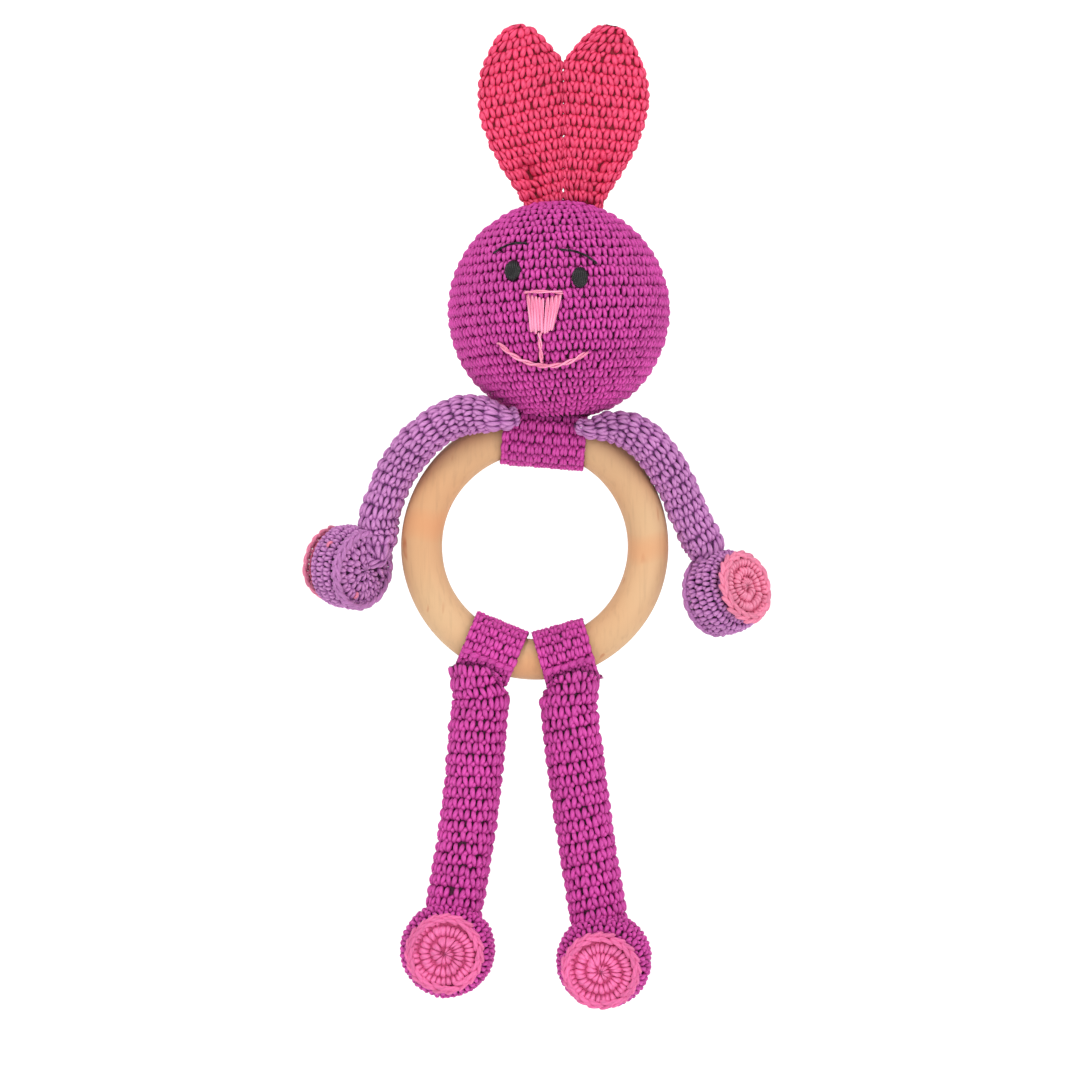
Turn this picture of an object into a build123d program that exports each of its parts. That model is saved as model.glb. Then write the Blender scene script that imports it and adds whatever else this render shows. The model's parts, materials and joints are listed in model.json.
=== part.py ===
from build123d import *
import os
from math import cos, radians, sin

# Crocheted rabbit rattle built round a wooden teething ring. Millimetres.
# Origin at the ring's centre, +Z towards the ears, the face looks along -Y.
# "left" and "right" are as seen from the front, so left is -X.

# ---- ring and the crocheted sleeves that slide on it ----
RING_OUTER_R = 35.0                      # a standard 70 mm teething ring
RING_TUBE_R = 5.4
RING_R = RING_OUTER_R - RING_TUBE_R      # centreline of the ring's tube
SLIP = 0.25                              # gap between a sleeve and the wood
FABRIC = 1.8                             # thickness of the crochet
FILL_GAP = 0.05                          # keeps the filling off its cover
JOINT_GAP = 0.3                          # between soft pieces that move on each other
SLEEVE_DEPTH = RING_TUBE_R + SLIP + 1.9  # half the depth of a sleeve, along Y
SLEEVE_REACH_OUT = 7.4                   # from the tube's centre, away from the ring's centre
SLEEVE_ROUND = 0.6
NECK_ANGLE = 4.6                         # clockwise from the top of the ring
NECK_HALF_WIDTH = 11.0
NECK_REACH_IN = 9.2                      # from the tube's centre, towards the ring's centre
NECK_SEAM_LEVEL = -1.0                   # from the tube's centre, away from the ring's centre
LOOPS = {"left": (202.6, 7.4), "right": (164.2, 7.1)}   # clockwise from the top, half width
LOOP_REACH_IN = 8.4
LOOP_SEAM_LEVEL = 2.6
SADDLE_R = SLEEVE_DEPTH + 2 * JOINT_GAP  # hollow that rolls on a sleeve
SEAM_HEIGHT = 2.4
SEAM_PROUD = 0.9

# ---- head ----
HEAD_CENTRE = (6.2, 0, 61.4)
HEAD_R = 29.1
HEAD_BOTTOM = 36.3
CAPSULE_R = 13.5
CAPSULE_WALL = 1.2
LIP_HEIGHT = 1.4
LIP_SLIP = 0.1                           # between the capsule's two lips
PELLET_R = 1.7
PELLET_GAP = 0.3                         # between the pellets and the capsule
PELLET_ROUNDS = (1, 6, 10)
PELLET_STEP = 20.5                       # degrees between rounds of pellets

# ---- face, as places on the front view (x, z) ----
THREAD_PROUD = 0.7                       # how far the embroidery stands off the head
THREAD_LIFT = 0.02
EYE_WIDTH = 4.3
EYES = {"left_eye": (-5.7, 70.8, 5.5), "right_eye": (11.5, 68.9, 6.0)}
EYE_TILT = -12
LINE_GAP = 0.05                          # between two lines of thread that meet
BROW_WIDTH = 0.8
BROWS = {
    "left_eyebrow": ((-10.6, 75.5), (-6.6, 77.7), (-1.9, 77.8)),
    "right_eyebrow": ((6.4, 76.1), (11.3, 75.4), (15.9, 72.5)),
}
NOSE = [(-2.7, 64.2), (-1.2, 55.3), (4.4, 54.8), (7.3, 64.0)]
NOSE_BAR = ((-2.6, 65.0), (2.2, 65.2), (7.0, 64.9))
MOUTH = ((-9.3, 52.4), (1.7, 46.3), (13.3, 49.8))
PHILTRUM = ((1.2, 54.4), (1.4, 51.0), (1.7, 47.6))
MOUTH_WIDTH = 1.2

# ---- ears ----
EAR_HINGE_Z = 92.7
EAR_LENGTH = 44.2
EAR_THICK = 4.2
EAR_SPLIT_X = 7.4                        # the ears meet here
EAR_CLEAR = 0.2                          # from the split to each ear
EAR_EDGE = 0.1                           # flat left on an ear's rounded edge
EAR_OUTLINE = [                          # half width and height above the hinge
    (4.2, -4.0), (6.9, 3.0), (11.1, 14.0), (12.3, 23.0), (10.4, 33.0), (6.4, 39.6), (0, EAR_LENGTH),
]
EARS = {"left_ear": (1.6, 9.0, -1), "right_ear": (13.2, -9.0, 1)}   # base x, lean, side

# ---- arms, hands ----
LEFT_ARM = [
    (-6.0, -10.5, 31.6), (-14.6, -9.1, 34.2), (-22.3, -6.4, 32.9), (-28.8, -4.6, 28.6),
    (-34.2, -2.0, 22.6), (-38.4, -0.6, 14.8), (-41.0, 0, 7.0), (-45.0, 0, -1.0),
]
LEFT_ARM_RADII = [2.9, 4.6, 5.3, 5.2, 5.2, 5.2, 5.3, 5.4]
RIGHT_ARM = [
    (11.6, -10.4, 31.2), (17.6, -8.4, 30.4), (24.2, -6.8, 30.2), (30.4, -5.2, 25.8),
    (34.8, -3.0, 19.9), (38.4, -1.2, 12.6), (41.9, -0.4, 5.0), (46.4, 0, -5.0),
]
RIGHT_ARM_RADII = [2.8, 3.4, 4.9, 5.1, 5.1, 5.2, 5.3, 5.4]
HAND_R = 11.0
HAND_HALF = 5.6
HAND_ROUND = 3.6
PALM_R = 9.6
PAD_THICK = 2.3
PAD_ROUND = 0.9
RIM_R = 1.2
HANDS = {                                # centre, and the way the palm pad faces
    "left": (Vector(-48.5, 0.5, -5.4), Vector(-0.72, 0.67, 0.16)),
    "right": (Vector(49.6, -0.5, -12.2), Vector(0.70, -0.67, 0.23)),
}

# ---- legs, feet ----
LEG_HALF_DEPTH = 6.6
LEG_HALF_WIDTHS = [7.2, 7.5, 7.5, 7.4, 7.4, 7.6]
LEFT_LEG = [
    (-11.4, 0, -28.0), (-14.4, 0, -43.0), (-16.0, 0, -60.0),
    (-18.0, 0, -76.0), (-20.6, 0, -91.0), (-22.6, 0, -104.0),
]
RIGHT_LEG = [
    (8.2, 0, -29.0), (9.0, 0, -44.0), (11.0, 0, -60.0),
    (13.4, 0, -77.0), (16.0, 0, -93.0), (17.6, 0, -106.0),
]
FOOT_R = 12.4
FOOT_HALF = 7.4
FOOT_ROUND = 5.4
SOLE_R = 10.3
FEET = {                                 # centre, and the way the sole pad faces
    "left": (Vector(-22.8, -2.6, -105.3), Vector(-0.07, -0.99, -0.04)),
    "right": (Vector(18.0, -2.6, -108.0), Vector(-0.10, -0.96, -0.24)),
}
ARMS = {"left": (LEFT_ARM, LEFT_ARM_RADII), "right": (RIGHT_ARM, RIGHT_ARM_RADII)}
LEGS = {"left": LEFT_LEG, "right": RIGHT_LEG}

os.makedirs("parts", exist_ok=True)


def save(piece, label):
    """Labels a finished piece and writes its STEP file."""
    piece.label = label
    export_step(piece, f"parts/{label}.step")


def ring_plane(angle):
    """Plane on the tube's centreline: local X runs along the ring, local Z points out of it."""
    out = Vector(sin(radians(angle)), 0, cos(radians(angle)))
    along = Vector(cos(radians(angle)), 0, -sin(radians(angle)))
    return Plane(origin=out * RING_R, x_dir=along, z_dir=out)


def cross_plane(frame):
    """Section plane across the ring's tube: local X is depth, local Y points out of the ring."""
    return Plane(origin=frame.origin, x_dir=frame.y_dir, z_dir=frame.x_dir)


def sleeve(frame, half_width, reach_in):
    """Straight crocheted band round the ring, with a bore that follows the curved wood."""
    with BuildPart() as band:
        with BuildSketch(cross_plane(frame)):
            with Locations((0, (SLEEVE_REACH_OUT - reach_in) / 2)):
                Ellipse(SLEEVE_DEPTH, (SLEEVE_REACH_OUT + reach_in) / 2)
        extrude(amount=half_width, both=True)
        fillet(band.edges().filter_by(GeomType.ELLIPSE), SLEEVE_ROUND)
        with BuildSketch(Plane.XY):
            with Locations((RING_R, 0)):
                Circle(RING_TUBE_R + SLIP)
        revolve(axis=Axis.Y, mode=Mode.SUBTRACT)
    return band


def sleeve_seam(frame, half_width, reach_in, side, level):
    """Row of sewing along a sleeve, on its front (side -1) or back (side 1), at a level
    measured out from the tube's centre."""
    with BuildPart() as seam:
        with BuildSketch(cross_plane(frame)):
            with Locations((0, (SLEEVE_REACH_OUT - reach_in) / 2)):
                Ellipse(SLEEVE_DEPTH + SEAM_PROUD, (SLEEVE_REACH_OUT + reach_in) / 2 + SEAM_PROUD)
                Ellipse(SLEEVE_DEPTH, (SLEEVE_REACH_OUT + reach_in) / 2, mode=Mode.SUBTRACT)
            with Locations((side * SLEEVE_DEPTH, level)):
                Rectangle(SLEEVE_DEPTH, SEAM_HEIGHT, mode=Mode.INTERSECT)
        extrude(amount=half_width - SLEEVE_ROUND, both=True)
    return seam


# ---------------------------------------------------------------- ring
with BuildPart() as wooden_ring:
    with BuildSketch(Plane.XY):
        with Locations((RING_R, 0)):
            Circle(RING_TUBE_R)
    revolve(axis=Axis.Y)
save(wooden_ring.part, "wooden_ring")

# ---------------------------------------------------------------- neck band
neck_frame = ring_plane(NECK_ANGLE)
save(sleeve(neck_frame, NECK_HALF_WIDTH, NECK_REACH_IN).part, "neck_band")
neck_seam = sleeve_seam(neck_frame, NECK_HALF_WIDTH, NECK_REACH_IN, 1, NECK_SEAM_LEVEL)
save(neck_seam.part, "neck_band_seam")

# ---------------------------------------------------------------- head
def head_form(inset):
    """The head's outer form, made smaller all round by inset: a ball with a flat chin and a
    hollow under it that rolls on the neck band."""
    with BuildPart() as form:
        with Locations(HEAD_CENTRE):
            Sphere(HEAD_R - inset)
        split(bisect_by=Plane.XY.offset(HEAD_BOTTOM + inset), keep=Keep.TOP)
        with BuildSketch(cross_plane(neck_frame)):
            Circle(SADDLE_R + inset)
        extrude(amount=HEAD_R, both=True, mode=Mode.SUBTRACT)
    return form


with BuildPart() as head_shell:
    add(head_form(0).part)
    add(head_form(FABRIC).part, mode=Mode.SUBTRACT)
save(head_shell.part, "head_shell")

with BuildPart() as head_stuffing:
    add(head_form(FABRIC + FILL_GAP).part)
    with Locations(HEAD_CENTRE):
        Sphere(CAPSULE_R + FILL_GAP, mode=Mode.SUBTRACT)
save(head_stuffing.part, "head_stuffing")

# ---------------------------------------------------------------- rattle in the head
capsule_mid = Plane.XY.offset(HEAD_CENTRE[2])
capsule_inner_r = CAPSULE_R - CAPSULE_WALL
lip_outer_r = CAPSULE_R - CAPSULE_WALL / 2
lip_inner_r = capsule_inner_r - LIP_SLIP
lip_place = (HEAD_CENTRE[0], HEAD_CENTRE[1], HEAD_CENTRE[2] + LIP_HEIGHT / 2)

with BuildPart() as rattle_capsule_lower:
    with Locations(HEAD_CENTRE):
        Sphere(CAPSULE_R)
        Sphere(capsule_inner_r, mode=Mode.SUBTRACT)
    split(bisect_by=capsule_mid, keep=Keep.BOTTOM)
    with Locations(lip_place):
        Cylinder(lip_outer_r, LIP_HEIGHT)
        Cylinder(lip_inner_r, LIP_HEIGHT, mode=Mode.SUBTRACT)
save(rattle_capsule_lower.part, "rattle_capsule_lower")

with BuildPart() as rattle_capsule_upper:
    with Locations(HEAD_CENTRE):
        Sphere(CAPSULE_R)
        Sphere(capsule_inner_r, mode=Mode.SUBTRACT)
    split(bisect_by=capsule_mid, keep=Keep.TOP)
    with Locations(lip_place):
        Cylinder(lip_outer_r + FILL_GAP, LIP_HEIGHT + 2 * FILL_GAP, mode=Mode.SUBTRACT)
save(rattle_capsule_upper.part, "rattle_capsule_upper")

pellet_orbit = lip_inner_r - PELLET_R - PELLET_GAP
with BuildPart() as rattle_pellets:
    for round_number, count in enumerate(PELLET_ROUNDS):
        off = radians(PELLET_STEP * round_number)
        drop = Vector(*HEAD_CENTRE) - Vector(0, 0, pellet_orbit * cos(off))
        with Locations(Plane(origin=drop)):
            with PolarLocations(pellet_orbit * sin(off), count):
                Sphere(PELLET_R)
save(rattle_pellets.part, "rattle_pellets")

# ---------------------------------------------------------------- embroidered face
face_plane = Plane(origin=(0, -2 * HEAD_R, 0), x_dir=(1, 0, 0), z_dir=(0, -1, 0))

with BuildPart() as face_layer:
    add(head_form(-THREAD_PROUD).part)
    add(head_form(-THREAD_LIFT).part, mode=Mode.SUBTRACT)


def embroider(outline, label):
    """Gives a sketch on the front view the head's curve and the thread's height."""
    with BuildPart() as stitches:
        extrude(outline, amount=2 * HEAD_R, dir=(0, 1, 0))
        add(face_layer.part, mode=Mode.INTERSECT)
    save(stitches.part, label)


for label, (x, z, height) in EYES.items():
    with BuildSketch(face_plane) as eye:
        with Locations(Location((x, z, 0), (0, 0, EYE_TILT))):
            Ellipse(EYE_WIDTH / 2, height / 2)
    embroider(eye.sketch, label)

for label, points in BROWS.items():
    brow_arc = ThreePointArc(*points)
    with BuildSketch(face_plane) as brow:
        SlotArc(brow_arc, BROW_WIDTH)
    embroider(brow.sketch, label)

with BuildSketch(face_plane) as nose:
    with BuildLine():
        Polyline(*NOSE, close=True)
    make_face()
embroider(nose.sketch, "nose")

bar_path = ThreePointArc(*NOSE_BAR)
with BuildSketch(face_plane) as nose_bar:
    SlotArc(bar_path, MOUTH_WIDTH)
embroider(nose_bar.sketch, "nose_bar")

smile = ThreePointArc(*MOUTH)
with BuildSketch(face_plane) as mouth_line:
    SlotArc(smile, MOUTH_WIDTH)
embroider(mouth_line.sketch, "mouth_line")

lip_path = ThreePointArc(*PHILTRUM)
with BuildSketch(face_plane) as philtrum:
    SlotArc(lip_path, MOUTH_WIDTH)
    SlotArc(smile, MOUTH_WIDTH + 2 * LINE_GAP, mode=Mode.SUBTRACT)
embroider(philtrum.sketch, "philtrum")

# ---------------------------------------------------------------- ears
for label, (base_x, lean_angle, side) in EARS.items():
    tilt = radians(lean_angle)
    ear_plane = Plane(
        origin=(base_x, EAR_THICK / 2, EAR_HINGE_Z),
        x_dir=(cos(tilt), 0, sin(tilt)),
        z_dir=(0, -1, 0),
    )
    with BuildPart() as ear:
        with BuildSketch(ear_plane):
            with BuildLine():
                Spline(*EAR_OUTLINE, tangents=[(0.2, 1), (-1, 0)])
                Spline(*[(-u, v) for u, v in EAR_OUTLINE], tangents=[(-0.2, 1), (1, 0)])
                Line((-EAR_OUTLINE[0][0], EAR_OUTLINE[0][1]), EAR_OUTLINE[0])
            make_face()
        extrude(amount=EAR_THICK)
        split(bisect_by=Plane.YZ.offset(EAR_SPLIT_X + side * EAR_CLEAR),
              keep=Keep.TOP if side > 0 else Keep.BOTTOM)
        split(bisect_by=Plane.XY.offset(EAR_HINGE_Z - EAR_THICK / 2 + EAR_EDGE), keep=Keep.TOP)
        fillet(ear.edges().filter_by(Axis.X), EAR_THICK / 2 - EAR_EDGE)
    save(ear.part, label)


# ---------------------------------------------------------------- limbs
def tube_form(points, widths, depths, inset):
    """Soft tube through hand-placed points, an ellipse at each, smaller all round by inset."""
    path = Spline(*points)
    with BuildPart() as form:
        for point, width, depth in zip(points, widths, depths):
            heading = path.tangent_at(path.param_at_point(point))
            across = Vector(0, 1, 0).cross(heading)
            with BuildSketch(Plane(origin=point, x_dir=across, z_dir=heading)):
                Ellipse(width - inset, depth - inset)
        loft()
    return form


def cushion_form(centre, facing, radius, half, rounding, inset):
    """Round stuffed cushion: a drum with well rounded rims, smaller all round by inset."""
    with BuildPart(Plane(origin=centre, z_dir=facing)) as form:
        Cylinder(radius - inset, 2 * (half - inset))
        fillet(form.edges().filter_by(GeomType.CIRCLE), rounding - inset)
    return form


def pad_form(centre, facing, offset_out, radius):
    """Thin crocheted disc sewn on a cushion's face, its outer rim rounded."""
    base = centre + facing.normalized() * offset_out
    with BuildPart(Plane(origin=base, z_dir=facing)) as pad:
        Cylinder(radius, PAD_THICK, align=(Align.CENTER, Align.CENTER, Align.MIN))
        fillet(pad.faces().sort_by(Axis(base, facing))[-1].edges(), PAD_ROUND)
    return pad


for side in ("left", "right"):
    # arm: a stuffed tube from the neck to the hand
    arm_points, arm_radii = ARMS[side]
    hand_centre, palm_facing = HANDS[side]
    hand_plane = Plane(origin=hand_centre, z_dir=palm_facing)
    hand_outer = cushion_form(hand_centre, palm_facing, HAND_R, HAND_HALF, HAND_ROUND, -FILL_GAP)
    with BuildPart() as arm_tube:
        add(tube_form(arm_points, arm_radii, arm_radii, 0).part)
        add(tube_form(arm_points, arm_radii, arm_radii, FABRIC).part, mode=Mode.SUBTRACT)
        add(hand_outer.part, mode=Mode.SUBTRACT)
    save(arm_tube.part, f"{side}_arm_tube")
    with BuildPart() as arm_stuffing:
        add(tube_form(arm_points, arm_radii, arm_radii, FABRIC + FILL_GAP).part)
        add(hand_outer.part, mode=Mode.SUBTRACT)
    save(arm_stuffing.part, f"{side}_arm_stuffing")

    # hand: a round cushion with a ridge of joining stitches and a pink palm
    with BuildPart() as hand_shell:
        add(cushion_form(hand_centre, palm_facing, HAND_R, HAND_HALF, HAND_ROUND, 0).part)
        add(cushion_form(hand_centre, palm_facing, HAND_R, HAND_HALF, HAND_ROUND, FABRIC).part,
            mode=Mode.SUBTRACT)
    save(hand_shell.part, f"{side}_hand_shell")
    filling = cushion_form(hand_centre, palm_facing, HAND_R, HAND_HALF, HAND_ROUND,
                           FABRIC + FILL_GAP)
    save(filling.part, f"{side}_hand_stuffing")
    with BuildPart() as hand_rim:
        with Locations(hand_plane.offset(RIM_R - HAND_HALF)):
            Torus(HAND_R - RIM_R, RIM_R)
        add(hand_outer.part, mode=Mode.SUBTRACT)
        add(tube_form(arm_points, arm_radii, arm_radii, -FILL_GAP).part, mode=Mode.SUBTRACT)
    save(hand_rim.part, f"{side}_hand_rim")
    palm = pad_form(hand_centre, palm_facing, HAND_HALF + FILL_GAP, PALM_R)
    save(palm.part, f"{side}_palm_pad")

    # strap loop on the ring, and the row of stitches that closes it
    loop_angle, loop_half_width = LOOPS[side]
    loop_frame = ring_plane(loop_angle)
    save(sleeve(loop_frame, loop_half_width, LOOP_REACH_IN).part, f"{side}_leg_loop")
    loop_seam = sleeve_seam(loop_frame, loop_half_width, LOOP_REACH_IN, -1, LOOP_SEAM_LEVEL)
    save(loop_seam.part, f"{side}_leg_loop_seam")

    # leg: a stuffed tube whose hollow top rolls on the loop
    foot_centre, sole_facing = FEET[side]
    leg_depths = [LEG_HALF_DEPTH] * len(LEG_HALF_WIDTHS)
    foot_outer = cushion_form(foot_centre, sole_facing, FOOT_R, FOOT_HALF, FOOT_ROUND, -FILL_GAP)
    for label, hollow, inset in (("leg_tube", True, 0), ("leg_stuffing", False, FABRIC + FILL_GAP)):
        with BuildPart() as leg:
            add(tube_form(LEGS[side], LEG_HALF_WIDTHS, leg_depths, inset).part)
            if hollow:
                add(tube_form(LEGS[side], LEG_HALF_WIDTHS, leg_depths, FABRIC).part,
                    mode=Mode.SUBTRACT)
            with BuildSketch(cross_plane(loop_frame)):
                Circle(SADDLE_R + 2 * JOINT_GAP + inset)
            extrude(amount=2 * loop_half_width, both=True, mode=Mode.SUBTRACT)
            add(foot_outer.part, mode=Mode.SUBTRACT)
        save(leg.part, f"{side}_{label}")

    # foot: a round cushion with a pink sole facing forwards
    with BuildPart() as foot_shell:
        add(cushion_form(foot_centre, sole_facing, FOOT_R, FOOT_HALF, FOOT_ROUND, 0).part)
        add(cushion_form(foot_centre, sole_facing, FOOT_R, FOOT_HALF, FOOT_ROUND, FABRIC).part,
            mode=Mode.SUBTRACT)
    save(foot_shell.part, f"{side}_foot_shell")
    filling = cushion_form(foot_centre, sole_facing, FOOT_R, FOOT_HALF, FOOT_ROUND,
                           FABRIC + FILL_GAP)
    save(filling.part, f"{side}_foot_stuffing")
    sole = pad_form(foot_centre, sole_facing, FOOT_HALF + FILL_GAP, SOLE_R)
    save(sole.part, f"{side}_foot_pad")
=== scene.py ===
import json
import math

import bpy
import numpy as np
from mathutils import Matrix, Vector


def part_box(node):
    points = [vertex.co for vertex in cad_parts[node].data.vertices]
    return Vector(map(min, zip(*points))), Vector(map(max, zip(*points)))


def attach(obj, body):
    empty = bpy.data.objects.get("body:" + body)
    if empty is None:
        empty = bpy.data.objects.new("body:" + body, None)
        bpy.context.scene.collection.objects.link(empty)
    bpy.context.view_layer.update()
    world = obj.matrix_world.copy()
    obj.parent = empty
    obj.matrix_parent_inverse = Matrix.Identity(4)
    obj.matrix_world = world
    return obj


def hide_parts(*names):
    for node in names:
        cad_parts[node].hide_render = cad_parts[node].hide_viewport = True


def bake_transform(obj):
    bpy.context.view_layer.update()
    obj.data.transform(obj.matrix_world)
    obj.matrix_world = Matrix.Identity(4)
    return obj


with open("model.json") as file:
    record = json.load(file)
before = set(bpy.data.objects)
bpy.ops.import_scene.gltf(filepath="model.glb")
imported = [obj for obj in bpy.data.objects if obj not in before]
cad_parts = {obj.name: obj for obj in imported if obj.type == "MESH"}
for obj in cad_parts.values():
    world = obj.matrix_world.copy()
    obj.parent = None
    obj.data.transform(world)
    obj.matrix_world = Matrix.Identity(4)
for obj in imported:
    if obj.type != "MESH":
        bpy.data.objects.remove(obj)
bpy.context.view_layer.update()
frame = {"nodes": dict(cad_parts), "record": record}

# A crocheted rabbit rattle on a wooden teething ring, built loop by loop. Lengths below are in
# millimetres and become metres when a mesh is made. "left" is -X, as seen from the front.

MM = 0.001
rng = np.random.default_rng(11)
TURN = 2 * math.pi
DEPTH = np.array([0.0, 1.0, 0.0])         # away from the viewer
UP = np.array([0.0, 0.0, 1.0])


# ------------------------------------------------------------------ reading the CAD frame
def unit(v):
    v = np.asarray(v, float)
    return v / np.linalg.norm(v)


def run_of(points):
    """Length along a path up to each of its points."""
    return np.concatenate([[0], np.cumsum(np.linalg.norm(np.diff(points, axis=0), axis=1))])


def node_points(name):
    mesh = frame["nodes"][name].data
    flat = np.empty(len(mesh.vertices) * 3)
    mesh.vertices.foreach_get("co", flat)
    return flat.reshape(-1, 3) / MM


def node_edges(name):
    mesh = frame["nodes"][name].data
    flat = np.empty(len(mesh.edges) * 2, dtype=np.int64)
    mesh.edges.foreach_get("vertices", flat)
    return flat.reshape(-1, 2)


def cad_box(name):
    low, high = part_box(name)
    return np.array(low) / MM, np.array(high) / MM


def cad_middle(name):
    low, high = cad_box(name)
    return (low + high) / 2


def cut(name, normal, level):
    """Where the plane normal . p = level cuts a node."""
    points, edges = node_points(name), node_edges(name)
    side = points @ np.asarray(normal, float) - level
    a, b = edges[:, 0], edges[:, 1]
    through = side[a] * side[b] < 0
    a, b = a[through], b[through]
    share = (side[a] / (side[a] - side[b]))[:, None]
    return points[a] + share * (points[b] - points[a])


def smoothed(values, passes=2):
    """Takes the small steps out of a run of measurements, ends kept."""
    values = np.array(values, float)
    for _ in range(passes):
        values[1:-1] = (values[:-2] + 2 * values[1:-1] + values[2:]) / 4
    return values


def limb_line(name, from_angle, to_angle, count):
    """Centres and radii of an arm that goes round the ring, by angle clockwise from the top."""
    centres, radii = [], []
    for angle in np.linspace(from_angle, to_angle, count):
        out = np.array([math.sin(angle), 0, math.cos(angle)])
        side = np.array([math.cos(angle), 0, -math.sin(angle)])
        found = cut(name, side, 0.0)
        found = found[found @ out > 0]
        if len(found) < 4:
            continue
        low, high = found.min(0), found.max(0)
        reach = found @ out
        centre = out * (reach.min() + reach.max()) / 2
        centre[1] = (low[1] + high[1]) / 2
        centres.append(centre)
        radii.append((high[1] - low[1]) / 2)
    return smoothed(centres, 3), smoothed(radii, 3)


def upright_line(name, levels):
    """Centres, half widths and half depths of a piece that stands along Z."""
    centres, wide, deep = [], [], []
    for level in levels:
        found = cut(name, UP, level)
        if len(found) < 4:
            continue
        low, high = found.min(0), found.max(0)
        centres.append([(low[0] + high[0]) / 2, (low[1] + high[1]) / 2, level])
        wide.append((high[0] - low[0]) / 2)
        deep.append((high[1] - low[1]) / 2)
    return np.array(centres), np.array(wide), np.array(deep)


# ------------------------------------------------------------------ materials
def srgb(r, g, b):
    """A colour written as 0-255 screen values, made linear."""
    out = []
    for c in (r, g, b):
        c /= 255
        out.append(c / 12.92 if c <= 0.04045 else ((c + 0.055) / 1.055) ** 2.4)
    return (*out, 1.0)


class Nodes:
    """Small helper that builds a material's node tree."""

    def __init__(self, name):
        self.material = bpy.data.materials.new(name)
        self.material.use_nodes = True
        self.tree = self.material.node_tree
        self.shader = self.tree.nodes["Principled BSDF"]

    def add(self, kind, **values):
        node = self.tree.nodes.new(kind)
        for key, value in values.items():
            setattr(node, key, value)
        return node

    def link(self, out, into):
        self.tree.links.new(out, into)

    def math(self, operation, a, b=None, c=None):
        node = self.add("ShaderNodeMath", operation=operation)
        for socket, value in zip(node.inputs, (a, b, c)):
            if value is None:
                continue
            if isinstance(value, (int, float)):
                socket.default_value = value
            else:
                self.link(value, socket)
        return node.outputs[0]

    def mix(self, share, a, b, blend="MIX"):
        node = self.add("ShaderNodeMix", data_type="RGBA", blend_type=blend)
        for socket, value in ((node.inputs[0], share), (node.inputs[6], a), (node.inputs[7], b)):
            if isinstance(value, (int, float, tuple)):
                socket.default_value = value
            else:
                self.link(value, socket)
        return node.outputs[2]

    def noise(self, scale, detail=2.0, rough=0.5, stretch=None, turn=None):
        """Noise in the piece's own space; scale is in repeats per metre."""
        place = self.add("ShaderNodeTexCoord").outputs["Object"]
        if stretch or turn:
            fit = self.add("ShaderNodeMapping")
            fit.inputs["Scale"].default_value = stretch or (1, 1, 1)
            fit.inputs["Rotation"].default_value = turn or (0, 0, 0)
            self.link(place, fit.inputs["Vector"])
            place = fit.outputs[0]
        node = self.add("ShaderNodeTexNoise")
        node.inputs["Scale"].default_value = scale
        node.inputs["Detail"].default_value = detail
        node.inputs["Roughness"].default_value = rough
        self.link(place, node.inputs["Vector"])
        return node.outputs["Fac"]

    def ramp(self, value, *stops):
        node = self.add("ShaderNodeValToRGB")
        while len(node.color_ramp.elements) < len(stops):
            node.color_ramp.elements.new(0.5)
        for element, (place, colour) in zip(node.color_ramp.elements, stops):
            element.position = place
            element.color = colour if isinstance(colour, tuple) else (colour,) * 3 + (1,)
        self.link(value, node.inputs[0])
        return node.outputs[0]

    def attribute(self, name):
        return self.add("ShaderNodeAttribute", attribute_name=name).outputs["Fac"]

    def bump(self, height, distance, strength=1.0, below=None):
        node = self.add("ShaderNodeBump")
        node.inputs["Strength"].default_value = strength
        node.inputs["Distance"].default_value = distance
        self.link(height, node.inputs["Height"])
        if below is not None:
            self.link(below, node.inputs["Normal"])
        return node.outputs[0]

    def set(self, **values):
        for key, value in values.items():
            self.shader.inputs[key.replace("_", " ")].default_value = value


YARN_PLIES = 3
YARN_TWIST = 2.6                          # radians the plies wind per unit along the UVs


def strand_relief(nodes, plies, twist):
    """Height of the plies that wind round a strand, from the strand's own UVs."""
    strand = nodes.add("ShaderNodeUVMap", uv_map="strand").outputs[0]
    parts = nodes.add("ShaderNodeSeparateXYZ")
    nodes.link(strand, parts.inputs[0])
    turn = nodes.math("MULTIPLY", parts.outputs[0], plies * TURN)
    wind = nodes.math("MULTIPLY_ADD", parts.outputs[1], twist, turn)
    wave = nodes.math("SINE", wind)
    return nodes.math("MULTIPLY_ADD", wave, 0.5, 0.5)


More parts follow.
